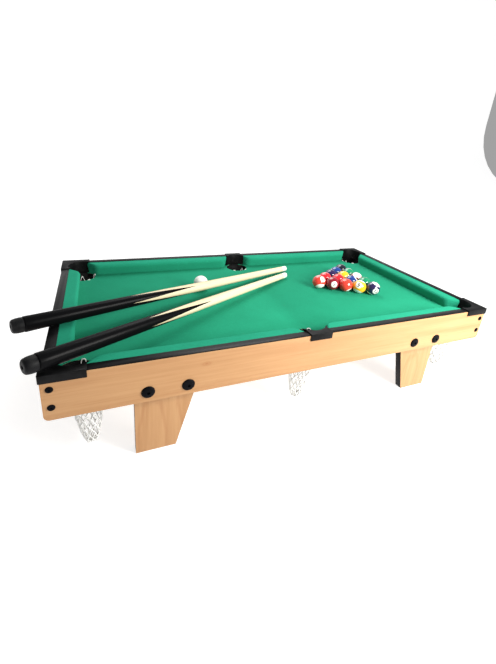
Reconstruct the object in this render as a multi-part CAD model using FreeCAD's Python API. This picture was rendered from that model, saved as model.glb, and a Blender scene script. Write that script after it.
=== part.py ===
import FreeCAD, Part
import math
import os

V = FreeCAD.Vector
os.makedirs("parts", exist_ok=True)

# The frame: origin at the middle of the table's footprint, on the floor. X runs along
# the table, Y across it towards the back, Z up. All sizes are millimetres.

# Overall sizes, over the pocket caps
LENGTH = 690.0
WIDTH = 370.0
HEIGHT = 147.0

# Boards
BOARD = 12.0
CAP_WALL = 1.5
TRIM = 0.8
APRON_BOTTOM = 88.5
APRON_CORNER_R = 6.0
BED_THICKNESS = 9.0
CLOTH_THICKNESS = 1.0
CLOTH_TOP = 124.5

# Pockets
HOLE_R = 22.0
CORNER_INSET_X = 34.0
CORNER_INSET_Y = 34.0
SIDE_INSET_Y = 33.0
LINER_R = 22.8
CAP_ARM = 47.0
SIDE_CAP_WIDTH = 35.0
SIDE_LINER_WIDTH = 39.0
CAP_DROP = 10.0
CAP_CORNER_R = 2.0
CAP_EDGE_R = 0.5

# Cushions
CUSHION_WIDTH = 18.5
CUSHION_TOP = 144.7
NOSE_DROP = 5.5
NOSE_UNDERCUT = 3.0
NOSE_BEVEL = 1.9
NOSE_SLOPE = 3.5
NOSE_SLOPE_DROP = 0.8
CORNER_CUT_AT_RAIL = 9.0
CORNER_CUT_AT_NOSE = 25.0
SIDE_CUT_AT_RAIL = 17.5
SIDE_CUT_AT_NOSE = 28.5
LINER_GAP = 0.4

# Nets: each row is height, outer radius and share of the foot's sideways sag
NET_WALL = 1.2
NET_SECTIONS = (
    (113.0, 19.0, 0.0),
    (90.0, 17.8, 0.2),
    (59.0, 15.0, 0.6),
    (41.0, 11.5, 0.8),
    (26.0, 7.5, 0.95),
    (15.0, 3.5, 1.0),
)
NET_RIM_R = 24.0
CORNER_NET_SAG = (-7.0, -5.0)
SIDE_NET_SAG = (-5.0, -4.0)

# Legs
LEG_OUTER_X = 250.0
LEG_FOOT_X = 199.0
LEG_SHOULDER_X = 166.5
LEG_BOLT_X = (187.0, 235.0)
LEG_BOLT_Z = 102.0
BOLT_SHANK_R = 3.0
BOLT_PAST_NUT = 2.0
BOLT_HEAD_R = 8.0
BOLT_HEAD = 2.4
BOLT_SOCKET_R = 2.3
BOLT_SOCKET_DEPTH = 1.6
NUT_CORNER_R = 5.8
NUT_HEIGHT = 5.0
NUT_FLANGE_R = 7.0
NUT_FLANGE = 1.2

# Corner screws
SCREW_FROM_END = 8.6
SCREW_HEIGHTS = (105.0, 128.0)
SCREW_SHANK_R = 1.6
SCREW_LENGTH = 22.0
SCREW_HEAD_R = 4.0
SCREW_HEAD = 1.4
SCREW_SLOT = 3.8
SCREW_SLOT_WIDTH = 0.7
SCREW_SLOT_DEPTH = 0.8
HEAD_ROUNDING = 0.6

# Cleats under the bed
CLEAT = 10.0
CLEAT_LONG_FROM = 34.0
CLEAT_LONG_TO = 156.0
CLEAT_END_HALF = 110.0

# Cues: the outlines of the bumper, butt and tip are steps inward and back from an end
CUE_BUTT_R = 10.0
CUE_TIP_R = 5.5
CUE_BUMPER = 13.0
CUE_BUMPER_R = 9.4
CUE_TIP_LENGTH = 14.0
BUMPER_STEPS = ((0.0, 3.6), (1.0, 2.2), (2.8, 1.0), (5.4, 0.3), (8.4, 0.0))
BUTT_STEPS = ((0.0, 1.3), (0.5, 0.6), (1.6, 0.0))
TIP_STEPS = ((1.6, 0.0), (0.7, 0.6), (0.0, 2.2))
CUE_1_LENGTH = 524.0
CUE_1_TIP = (100.5, 111.3)
CUE_1_HEADING = 22.94
CUE_1_TILT = 3.075
CUE_2_LENGTH = 508.0
CUE_2_TIP = (80.7, 73.5)
CUE_2_HEADING = 30.5
CUE_2_TILT = 3.25
CUE_CLEARANCE = 0.35

# Balls
BALL_R = 13.0
BALL_PITCH = 26.4
BALL_CLEARANCE = 0.05
RACK_APEX = (122.0, 9.0)
RACK = ((13,), (7, 11), (5, 3, 4), (9, 10, 1, 2), (12, 6, 15, 14, 8))
CUE_BALL_AT = (-110.0, 49.0)

# Worked out from the sizes above
FRAME_X = LENGTH / 2 - CAP_WALL
FRAME_Y = WIDTH / 2 - CAP_WALL
INNER_X = FRAME_X - BOARD
INNER_Y = FRAME_Y - BOARD
TRIM_TOP = HEIGHT - CAP_WALL
APRON_TOP = TRIM_TOP - TRIM
BED_TOP = CLOTH_TOP - CLOTH_THICKNESS
BED_BOTTOM = BED_TOP - BED_THICKNESS
CORNER_X = LENGTH / 2 - CORNER_INSET_X
CORNER_Y = WIDTH / 2 - CORNER_INSET_Y
SIDE_Y = WIDTH / 2 - SIDE_INSET_Y
LINER_OUT_R = LINER_R + CAP_WALL
SIDES = (("left", -1), ("right", 1))
ENDS = (("front", -1), ("back", 1))
POCKETS = [(sx * CORNER_X, sy * CORNER_Y) for sx in (-1, 1) for sy in (-1, 1)]
POCKETS += [(0.0, -SIDE_Y), (0.0, SIDE_Y)]


def save(shape, node):
    """Writes one sub-part, after a test of its solids."""
    if not shape.isValid() or not shape.Solids:
        raise ValueError(node + " is not a valid solid")
    shape.exportStep("parts/" + node + ".step")


def box(x0, x1, y0, y1, z0, z1):
    """A box between two corners."""
    return Part.makeBox(x1 - x0, y1 - y0, z1 - z0, V(x0, y0, z0))


def post(radius, x, y, z0, z1):
    """An upright cylinder."""
    return Part.makeCylinder(radius, z1 - z0, V(x, y, z0))


def across(radius, x, y0, y1, z):
    """A cylinder along Y, from y0 towards y1."""
    step = y1 - y0
    return Part.makeCylinder(radius, abs(step), V(x, y0, z), V(0, math.copysign(1, step), 0))


def prism(points, direction):
    """A flat outline pushed out along a direction."""
    wire = Part.makePolygon(points + [points[0]])
    return Part.Face(wire).extrude(direction)


def flip_x(shape):
    """The shape mirrored left to right."""
    return shape.mirror(V(0, 0, 0), V(1, 0, 0))


def flip_y(shape):
    """The shape mirrored front to back."""
    return shape.mirror(V(0, 0, 0), V(0, 1, 0))


def to_quarter(shape, sx, sy):
    """A shape made in the right back quarter, mirrored into another quarter."""
    moved = shape.copy()
    if sx < 0:
        moved = flip_x(moved)
    if sy < 0:
        moved = flip_y(moved)
    return moved


def pocket_cuts(radius, z0, z1):
    """The six pocket holes as one tool."""
    return Part.makeCompound([post(radius, x, y, z0, z1) for x, y in POCKETS])


def bolt_places():
    """The axes of the eight leg bolts: x and the side of the table."""
    return [(sx * x, sy) for sy in (-1, 1) for sx in (-1, 1) for x in LEG_BOLT_X]


def screw_places():
    """The axes of the eight corner screws: x, side of the table, height."""
    x = FRAME_X - SCREW_FROM_END
    return [(sx * x, sy, z) for sy in (-1, 1) for sx in (-1, 1) for z in SCREW_HEIGHTS]


def bolt_holes():
    """Tools for the holes that the leg bolts fill."""
    depth = INNER_Y - BOARD - 1
    return [across(BOLT_SHANK_R, x, sy * WIDTH, sy * depth, LEG_BOLT_Z) for x, sy in bolt_places()]


def screw_holes():
    """Tools for the holes that the corner screws fill."""
    tip = FRAME_Y - SCREW_LENGTH
    return [across(SCREW_SHANK_R, x, sy * WIDTH, sy * tip, z) for x, sy, z in screw_places()]


def bed_sheet(z0, z1):
    """A sheet of the bed between two heights: six holes, and the tips beyond the corner holes cut away."""
    sheet = box(-INNER_X, INNER_X, -INNER_Y, INNER_Y, z0, z1)
    tip = box(CORNER_X, LENGTH, CORNER_Y, WIDTH, 0, HEIGHT)
    tips = [to_quarter(tip, sx, sy) for sx in (-1, 1) for sy in (-1, 1)]
    return sheet.cut(pocket_cuts(HOLE_R, 0, HEIGHT)).cut(Part.makeCompound(tips))


def playfield():
    """The bed board and the cloth glued to it."""
    save(bed_sheet(BED_BOTTOM, BED_TOP), "playfield_board")
    save(bed_sheet(BED_TOP, CLOTH_TOP), "playfield_cloth")


def long_apron():
    """The back apron: it covers the ends of the end aprons, and its lower corners are round."""
    apron = box(-FRAME_X, FRAME_X, INNER_Y, FRAME_Y, APRON_BOTTOM, APRON_TOP)
    low = [e for e in apron.Edges if abs(e.CenterOfMass.z - APRON_BOTTOM) < 0.01]
    ends = [e for e in low if abs(abs(e.CenterOfMass.x) - FRAME_X) < 0.01]
    return apron.makeFillet(APRON_CORNER_R, ends)


def end_apron():
    """The right apron, between the long ones."""
    return box(INNER_X, FRAME_X, -INNER_Y, INNER_Y, APRON_BOTTOM, APRON_TOP)


def rails():
    """Four aprons and the band on the top edge of each."""
    liners = pocket_cuts(LINER_OUT_R, CLOTH_TOP, HEIGHT)
    drills = Part.makeCompound(bolt_holes() + screw_holes())
    back = long_apron()
    back_trim = box(-FRAME_X, FRAME_X, INNER_Y, FRAME_Y, APRON_TOP, TRIM_TOP)
    right = end_apron()
    right_trim = box(INNER_X, FRAME_X, -INNER_Y, INNER_Y, APRON_TOP, TRIM_TOP)
    for name, side in ENDS:
        save(to_quarter(back, 1, side).cut(liners).cut(drills), "apron_" + name)
        save(to_quarter(back_trim, 1, side).cut(liners), "rail_trim_" + name)
    for name, side in SIDES:
        save(to_quarter(right, side, 1).cut(liners).cut(drills), "apron_" + name)
        save(to_quarter(right_trim, side, 1).cut(liners), "rail_trim_" + name)


def cushion_profile():
    """The cushion's section as distances from the rail and heights: flat top, nose, undercut."""
    shoulder = CUSHION_WIDTH - NOSE_BEVEL
    return (
        (0.0, CLOTH_TOP),
        (CUSHION_WIDTH - NOSE_UNDERCUT, CLOTH_TOP),
        (CUSHION_WIDTH, CUSHION_TOP - NOSE_DROP),
        (shoulder, CUSHION_TOP - NOSE_SLOPE_DROP),
        (shoulder - NOSE_SLOPE, CUSHION_TOP),
        (0.0, CUSHION_TOP),
    )


def cushions():
    """Two cushions on each long rail and one on each end rail."""
    profile = [V(0, INNER_Y - u, z) for u, z in cushion_profile()]
    bar = prism(profile, V(INNER_X, 0, 0))
    nose_y = INNER_Y - CUSHION_WIDTH
    outline = [
        V(SIDE_CUT_AT_RAIL, INNER_Y, 0),
        V(SIDE_CUT_AT_NOSE, nose_y, 0),
        V(CORNER_X - CORNER_CUT_AT_NOSE, nose_y, 0),
        V(CORNER_X - CORNER_CUT_AT_RAIL, INNER_Y, 0),
    ]
    long_cushion = bar.common(prism(outline, V(0, 0, HEIGHT)))
    for end, sy in ENDS:
        for side, sx in SIDES:
            save(to_quarter(long_cushion, sx, sy), "cushion_" + end + "_" + side)
    profile = [V(INNER_X - u, -INNER_Y, z) for u, z in cushion_profile()]
    bar = prism(profile, V(0, 2 * INNER_Y, 0))
    nose_x = INNER_X - CUSHION_WIDTH
    at_rail = CORNER_Y - CORNER_CUT_AT_RAIL
    at_nose = CORNER_Y - CORNER_CUT_AT_NOSE
    outline = [V(INNER_X, -at_rail, 0), V(INNER_X, at_rail, 0), V(nose_x, at_nose, 0), V(nose_x, -at_nose, 0)]
    end_cushion = bar.common(prism(outline, V(0, 0, HEIGHT)))
    for side, sx in SIDES:
        save(to_quarter(end_cushion, sx, 1), "cushion_" + side + "_end")


def soften(cap, x_wall, y_wall):
    """Rounds the outer top edges of a cap, which lie at height HEIGHT on its outer walls."""
    edges = []
    for e in cap.Edges:
        c = e.CenterOfMass
        top = abs(c.z - HEIGHT) < 0.01
        outer = abs(c.x - x_wall) < CAP_WALL or abs(c.y - y_wall) < CAP_WALL
        if top and outer and e.Length > CAP_EDGE_R:
            edges.append(e)
    return cap.makeFillet(CAP_EDGE_R, edges)


def corner_pocket():
    """The cap, lip and liner of the right back corner, as one moulding."""
    x0 = LENGTH / 2 - CAP_ARM
    y0 = WIDTH / 2 - CAP_ARM
    cap = box(x0, LENGTH / 2, y0, WIDTH / 2, HEIGHT - CAP_DROP, HEIGHT)
    upright = [e for e in cap.Edges if abs(e.CenterOfMass.x - LENGTH / 2) < 0.01]
    corner = [e for e in upright if abs(e.CenterOfMass.y - WIDTH / 2) < 0.01]
    cap = soften(cap.makeFillet(CAP_CORNER_R, corner), LENGTH / 2, WIDTH / 2)
    cap = cap.cut(box(x0 - 1, FRAME_X, y0 - 1, FRAME_Y, 0, TRIM_TOP))
    wall = post(LINER_OUT_R, CORNER_X, CORNER_Y, CLOTH_TOP, HEIGHT - CAP_EDGE_R)
    start_x = CORNER_X - CORNER_CUT_AT_RAIL + LINER_GAP
    start_y = CORNER_Y - CORNER_CUT_AT_RAIL + LINER_GAP
    wall = wall.common(box(start_x, LENGTH, start_y, WIDTH, 0, HEIGHT))
    moulding = cap.fuse(wall).cut(post(LINER_R, CORNER_X, CORNER_Y, 0, 2 * HEIGHT))
    return moulding.removeSplitter()


def side_pocket():
    """The cap, lip and liner of the back side pocket, as one moulding."""
    half = SIDE_CAP_WIDTH / 2
    cap = box(-half, half, SIDE_Y, WIDTH / 2, HEIGHT - CAP_DROP, HEIGHT)
    cap = soften(cap, LENGTH, WIDTH / 2)
    cap = cap.cut(box(-LENGTH, LENGTH, 0, FRAME_Y, 0, TRIM_TOP))
    wall = post(LINER_OUT_R, 0, SIDE_Y, CLOTH_TOP, HEIGHT - CAP_EDGE_R)
    reach = SIDE_LINER_WIDTH / 2
    wall = wall.common(box(-reach, reach, SIDE_Y + 1, WIDTH, 0, HEIGHT))
    moulding = cap.fuse(wall).cut(post(LINER_R, 0, SIDE_Y, 0, 2 * HEIGHT))
    return moulding.removeSplitter()


def pockets():
    """Four corner pockets and two side pockets."""
    corner = corner_pocket()
    side = side_pocket()
    for end, sy in ENDS:
        for name, sx in SIDES:
            save(to_quarter(corner, sx, sy), "corner_pocket_" + end + "_" + name)
        save(to_quarter(side, 1, sy), "side_pocket_" + end)


def bag(x, y, sag_x, sag_y, inset):
    """The net's shape as a tapered solid, smaller all round by inset."""
    rings = []
    for z, radius, share in NET_SECTIONS:
        centre = V(x + sag_x * share, y + sag_y * share, z + inset)
        circle = Part.Circle(centre, V(0, 0, 1), radius - inset)
        rings.append(Part.Wire(circle.toShape()))
    return Part.makeLoft(rings, True, True)


def net(x, y, sag_x, sag_y):
    """One hanging net: a rim under the bed and a thin tapered bag, open at the top."""
    top = NET_SECTIONS[0][0]
    rim = post(NET_RIM_R, x, y, top, BED_BOTTOM)
    rim = rim.common(box(-INNER_X, INNER_X, -INNER_Y, INNER_Y, 0, HEIGHT))
    mouth = post(NET_SECTIONS[0][1] - NET_WALL, x, y, top - NET_WALL, BED_BOTTOM + 1)
    hollow = bag(x, y, sag_x, sag_y, NET_WALL)
    shell = bag(x, y, sag_x, sag_y, 0).cut(hollow).cut(mouth)
    return rim.cut(mouth).fuse(shell)


def nets():
    """Six nets; the corner ones lean in, and the side ones sag a little to the left."""
    for end, sy in ENDS:
        for name, sx in SIDES:
            sag_x, sag_y = CORNER_NET_SAG
            hung = net(sx * CORNER_X, sy * CORNER_Y, sag_x * sx, sag_y * sy)
            save(hung, "pocket_net_" + end + "_" + name)
        sag_x, sag_y = SIDE_NET_SAG
        save(net(0.0, sy * SIDE_Y, sag_x, sag_y * sy), "pocket_net_" + end + "_middle")


def legs():
    """Four board legs behind the long aprons: upright outer edge, slanting inner edge."""
    outline = [
        V(LEG_FOOT_X, INNER_Y, 0),
        V(LEG_OUTER_X, INNER_Y, 0),
        V(LEG_OUTER_X, INNER_Y, BED_BOTTOM),
        V(LEG_SHOULDER_X, INNER_Y, BED_BOTTOM),
    ]
    leg = prism(outline, V(0, -BOARD, 0))
    drills = Part.makeCompound(bolt_holes())
    for end, sy in ENDS:
        for side, sx in SIDES:
            save(to_quarter(leg, sx, sy).cut(drills), "leg_" + end + "_" + side)


def leg_bolt():
    """A bolt on the back of the table, at x = 0: low domed head with a hexagon socket."""
    shank_end = INNER_Y - BOARD - NUT_HEIGHT - BOLT_PAST_NUT
    head = across(BOLT_HEAD_R, 0, FRAME_Y, FRAME_Y + BOLT_HEAD, 0)
    rim = [e for e in head.Edges if abs(e.CenterOfMass.y - FRAME_Y - BOLT_HEAD) < 0.01]
    head = head.makeFillet(BOLT_HEAD * HEAD_ROUNDING, rim)
    shank = across(BOLT_SHANK_R, 0, FRAME_Y, shank_end, 0)
    turns = [math.radians(60 * k) for k in range(6)]
    face_y = FRAME_Y + BOLT_HEAD
    hexagon = [V(BOLT_SOCKET_R * math.cos(a), face_y, BOLT_SOCKET_R * math.sin(a)) for a in turns]
    socket = prism(hexagon, V(0, -BOLT_SOCKET_DEPTH, 0))
    return head.fuse(shank).cut(socket)


def leg_nut():
    """A flange nut against the inner face of a leg, at x = 0."""
    face_y = INNER_Y - BOARD
    turns = [math.radians(60 * k) for k in range(6)]
    hexagon = [V(NUT_CORNER_R * math.cos(a), face_y, NUT_CORNER_R * math.sin(a)) for a in turns]
    nut = prism(hexagon, V(0, -NUT_HEIGHT, 0))
    flange = across(NUT_FLANGE_R, 0, face_y, face_y - NUT_FLANGE, 0)
    bore = across(BOLT_SHANK_R, 0, face_y + 1, face_y - NUT_HEIGHT - 1, 0)
    return nut.fuse(flange).cut(bore)


def corner_screw():
    """A corner screw on the back of the table, at x = 0: domed head with a cross recess."""
    head = across(SCREW_HEAD_R, 0, FRAME_Y, FRAME_Y + SCREW_HEAD, 0)
    rim = [e for e in head.Edges if abs(e.CenterOfMass.y - FRAME_Y - SCREW_HEAD) < 0.01]
    head = head.makeFillet(SCREW_HEAD * HEAD_ROUNDING, rim)
    shank = across(SCREW_SHANK_R, 0, FRAME_Y, FRAME_Y - SCREW_LENGTH, 0)
    top = FRAME_Y + SCREW_HEAD
    reach = SCREW_SLOT / 2
    half = SCREW_SLOT_WIDTH / 2
    slot = box(-reach, reach, top - SCREW_SLOT_DEPTH, top + 1, -half, half)
    slot = slot.fuse(box(-half, half, top - SCREW_SLOT_DEPTH, top + 1, -reach, reach))
    return head.fuse(shank).cut(slot)


def at_places(shape, places):
    """Copies of a fastener of the back side, moved to x and height, and mirrored to the front."""
    copies = []
    for x, sy, z in places:
        copy = to_quarter(shape, 1, sy)
        copy.translate(V(x, 0, z))
        copies.append(copy)
    return Part.makeCompound(copies)


def fasteners():
    """Leg bolts, their nuts, and the corner screws."""
    leg_places = [(x, sy, LEG_BOLT_Z) for x, sy in bolt_places()]
    save(at_places(leg_bolt(), leg_places), "leg_bolts")
    save(at_places(leg_nut(), leg_places), "leg_nuts")
    save(at_places(corner_screw(), screw_places()), "corner_screws")


def cleats():
    """The battens inside the aprons that carry the bed."""
    low = BED_BOTTOM - CLEAT
    long_one = box(CLEAT_LONG_FROM, CLEAT_LONG_TO, INNER_Y - CLEAT, INNER_Y, low, BED_BOTTOM)
    four = [to_quarter(long_one, sx, sy) for sx in (-1, 1) for sy in (-1, 1)]
    save(Part.makeCompound(four), "bed_cleats_long")
    end_one = box(INNER_X - CLEAT, INNER_X, -CLEAT_END_HALF, CLEAT_END_HALF, low, BED_BOTTOM)
    save(Part.makeCompound([flip_x(end_one), end_one]), "bed_cleats_end")


def turned(points):
    """A solid of revolution about X from an outline of (x, radius) points."""
    outline = [V(x, 0, r) for x, r in points]
    wire = Part.makePolygon(outline + [outline[0]])
    return Part.Face(wire).revolve(V(0, 0, 0), V(1, 0, 0), 360)


def cue_parts(length):
    """Bumper, shaft and tip of a cue that lies along X, with its butt end at x = 0."""
    shaft_end = length - CUE_TIP_LENGTH
    taper = (CUE_BUTT_R - CUE_TIP_R) / length
    shaft_end_r = CUE_BUTT_R - taper * shaft_end
    butt_face = CUE_BUMPER
    bumper = [(x, CUE_BUMPER_R - step) for x, step in BUMPER_STEPS]
    bumper = [(0.0, 0.0)] + bumper + [(butt_face, CUE_BUMPER_R), (butt_face, 0.0)]
    butt = [(butt_face + x, CUE_BUTT_R - step) for x, step in BUTT_STEPS]
    shaft = [(butt_face, 0.0)] + butt + [(shaft_end, shaft_end_r), (shaft_end, 0.0)]
    nose = [(length - x, CUE_TIP_R - step) for x, step in TIP_STEPS]
    tip = [(shaft_end, 0.0), (shaft_end, shaft_end_r)] + nose + [(length, 0.0)]
    return {"bumper": turned(bumper), "shaft": turned(shaft), "tip": turned(tip)}


def cues():
    """Two cues, each leaning from the rail to the cloth, where its tip rests."""
    places = (
        ("cue_1", CUE_1_LENGTH, CUE_1_TIP, CUE_1_HEADING, CUE_1_TILT),
        ("cue_2", CUE_2_LENGTH, CUE_2_TIP, CUE_2_HEADING, CUE_2_TILT),
    )
    for cue, length, tip_at, heading, tilt in places:
        tip_z = CLOTH_TOP + CUE_TIP_R + CUE_CLEARANCE
        for name, shape in cue_parts(length).items():
            shape.translate(V(-length, 0, 0))
            shape.rotate(V(0, 0, 0), V(0, 1, 0), tilt)
            shape.rotate(V(0, 0, 0), V(0, 0, 1), heading)
            shape.translate(V(tip_at[0], tip_at[1], tip_z))
            save(shape, cue + "_" + name)


def ball(x, y):
    """A ball on the cloth."""
    return Part.makeSphere(BALL_R, V(x, y, CLOTH_TOP + BALL_R + BALL_CLEARANCE))


def balls():
    """Fifteen balls in a triangle that points left, and the cue ball."""
    column = BALL_PITCH * math.cos(math.radians(30))
    for k, numbers in enumerate(RACK):
        for i, number in enumerate(numbers):
            y = RACK_APEX[1] + (i - k / 2) * BALL_PITCH
            save(ball(RACK_APEX[0] + k * column, y), "ball_%02d" % number)
    save(ball(*CUE_BALL_AT), "ball_cue")


playfield()
rails()
cushions()
pockets()
nets()
legs()
fasteners()
cleats()
cues()
balls()
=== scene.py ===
import logging
import math
import random
from dataclasses import dataclass, field
from enum import Enum
from typing import Any, Sequence

import bmesh
import bpy
from mathutils import Euler, Matrix, Vector


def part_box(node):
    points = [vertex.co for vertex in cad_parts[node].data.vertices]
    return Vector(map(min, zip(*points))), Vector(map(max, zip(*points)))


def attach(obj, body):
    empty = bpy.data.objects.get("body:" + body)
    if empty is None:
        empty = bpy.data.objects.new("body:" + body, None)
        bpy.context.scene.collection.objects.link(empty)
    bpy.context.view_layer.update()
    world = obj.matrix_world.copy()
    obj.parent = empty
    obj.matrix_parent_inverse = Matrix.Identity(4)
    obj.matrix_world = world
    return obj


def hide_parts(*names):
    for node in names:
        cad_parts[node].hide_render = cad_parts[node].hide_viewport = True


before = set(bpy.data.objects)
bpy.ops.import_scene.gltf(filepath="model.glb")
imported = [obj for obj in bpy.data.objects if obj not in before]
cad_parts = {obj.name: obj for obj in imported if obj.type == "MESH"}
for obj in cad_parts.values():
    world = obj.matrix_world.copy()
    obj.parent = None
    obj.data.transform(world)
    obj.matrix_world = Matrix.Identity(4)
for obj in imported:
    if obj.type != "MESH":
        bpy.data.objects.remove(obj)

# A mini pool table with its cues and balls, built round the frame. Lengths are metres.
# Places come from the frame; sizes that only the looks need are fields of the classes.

BMesh = bmesh.types.BMesh
Material = bpy.types.Material
RGB = tuple[float, float, float]
Ring = list[Vector]
Profile = list[tuple[float, float]]
Steps = tuple[float, float, float]
MM = 0.001
LOG = logging.getLogger("pool_table")
WORDS = (
    "one", "two", "three", "four", "five", "six", "seven", "eight",
    "nine", "ten", "eleven", "twelve", "thirteen", "fourteen", "fifteen",
)


class Grain(Enum):
    """How the figure of a wooden face runs."""

    ALONG_X = "along_x"
    ALONG_Y = "along_y"
    CATHEDRAL = "cathedral"


class Pattern(Enum):
    """How a ball is coloured."""

    PLAIN = "plain"
    SOLID = "solid"
    STRIPE = "stripe"


# Node graphs


class Graph:
    """A node tree under construction, with short ways to add and join nodes."""

    def __init__(self, tree: bpy.types.NodeTree) -> None:
        """Starts on an empty tree.

        Args:
            tree: the shader or geometry tree to fill.
        """
        self.tree = tree

    def add(self, kind: str, inputs: dict[Any, Any] | None = None, **settings: Any) -> bpy.types.Node:
        """Adds a node.

        Args:
            kind: the node's type name.
            inputs: socket name or index to a value, or to the socket it is joined to.
            **settings: the node's own properties.

        Returns:
            The new node.
        """
        node = self.tree.nodes.new(kind)
        for key, value in settings.items():
            setattr(node, key, value)
        for key, value in (inputs or {}).items():
            if isinstance(value, bpy.types.NodeSocket):
                self.tree.links.new(value, node.inputs[key])
            else:
                node.inputs[key].default_value = value
        return node

    def math(self, operation: str, *values: Any) -> bpy.types.NodeSocket:
        """The result of one arithmetic step on numbers or sockets."""
        inputs = dict(enumerate(values))
        return self.add("ShaderNodeMath", inputs, operation=operation).outputs[0]

    def times(self, a: Any, b: Any) -> Any:
        """The product of two numbers or sockets."""
        return self.math("MULTIPLY", a, b)

    def plus(self, a: Any, b: Any) -> Any:
        """The sum of two numbers or sockets."""
        return self.math("ADD", a, b)

    def size(self, a: Any) -> Any:
        """A number or socket without its sign."""
        return self.math("ABSOLUTE", a)

    def noise(self, vector: Any, scale: float, detail: float = 3.0, rough: float = 0.55) -> Any:
        """A noise pattern's value, from 0 to 1."""
        inputs = {"Vector": vector, "Scale": scale, "Detail": detail, "Roughness": rough}
        return self.add("ShaderNodeTexNoise", inputs).outputs["Fac"]

    def span(self, value: Any, low: float, high: float, to_low: float = 0.0, to_high: float = 1.0) -> Any:
        """A value moved from one range to another, clamped to the new one."""
        inputs = {0: value, 1: low, 2: high, 3: to_low, 4: to_high}
        return self.add("ShaderNodeMapRange", inputs).outputs[0]

    def mix(self, share: Any, a: Any, b: Any) -> bpy.types.NodeSocket:
        """A colour between a, at share 0, and b, at share 1."""
        inputs = {0: share, 6: a, 7: b}
        for index in (6, 7):
            if isinstance(inputs[index], tuple):
                inputs[index] = (*inputs[index], 1.0)
        return self.add("ShaderNodeMix", inputs, data_type="RGBA").outputs[2]

    def placed(self, scale: Sequence[float] = (1, 1, 1), place: Sequence[float] = (0, 0, 0)) -> Any:
        """Object coordinates, scaled and then moved."""
        here = self.add("ShaderNodeTexCoord").outputs["Object"]
        inputs = {"Vector": here, "Scale": tuple(scale), "Location": tuple(place)}
        return self.add("ShaderNodeMapping", inputs).outputs[0]

    def local(self, place: Vector, turn: Euler, scale: float = 1.0) -> Any:
        """Object coordinates as seen from a piece's own centre and axes."""
        here = self.add("ShaderNodeTexCoord").outputs["Object"]
        inputs = {"Vector": here, "Location": tuple(place), "Rotation": tuple(turn), "Scale": (scale,) * 3}
        return self.add("ShaderNodeMapping", inputs, vector_type="TEXTURE").outputs[0]

    def parts(self, vector: Any) -> tuple[Any, Any, Any]:
        """The three coordinates of a vector."""
        out = self.add("ShaderNodeSeparateXYZ", {0: vector}).outputs
        return out[0], out[1], out[2]

    def bump(self, height: Any, strength: float, distance: float, below: Any = None) -> Any:
        """A bumped normal, on top of another one if given."""
        inputs = {"Height": height, "Strength": strength, "Distance": distance}
        if below is not None:
            inputs["Normal"] = below
        return self.add("ShaderNodeBump", inputs).outputs[0]


@dataclass(frozen=True)
class Finish:
    """A named surface, built round one Principled shader."""

    name: str

    def shade(self, g: Graph) -> dict[str, Any]:
        """Builds the pattern nodes and returns the shader's inputs."""
        raise NotImplementedError

    def material(self) -> Material:
        """The finish as a material."""
        material = bpy.data.materials.new(self.name)
        material.use_nodes = True
        material.node_tree.nodes.clear()
        graph = Graph(material.node_tree)
        shader = graph.add("ShaderNodeBsdfPrincipled", self.shade(graph))
        graph.add("ShaderNodeOutputMaterial", {"Surface": shader.outputs[0]})
        return material


# Finishes


@dataclass(frozen=True)
class Felt(Finish):
    """Short-napped wool felt, brushed one way."""

    colour: RGB
    deep: RGB
    pile: float = 2400.0

    def shade(self, g: Graph) -> dict[str, Any]:
        """The pattern and the gloss."""
        here = g.placed()
        brushed = g.placed((0.35, 1.0, 1.0))
        flecks = g.noise(brushed, self.pile * 0.5, 4.0, 0.7)
        cloudy = g.noise(here, 16.0, 3.0, 0.6)
        pile = g.noise(brushed, self.pile, 3.0, 0.8)
        share = g.plus(g.times(flecks, 0.75), g.times(cloudy, 0.35))
        colour = g.mix(g.span(share, 0.36, 0.78), self.deep, self.colour)
        worn = g.bump(cloudy, 0.15, 0.0006)
        return {
            "Base Color": colour,
            "Roughness": g.span(flecks, 0.3, 0.7, 0.85, 1.0),
            "Sheen Weight": 0.10,
            "Sheen Roughness": 0.4,
            "Sheen Tint": (0.10, 0.95, 0.62, 1.0),
            "Specular IOR Level": 0.04,
            "Normal": g.bump(pile, 0.55, 0.00035, worn),
        }


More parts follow.
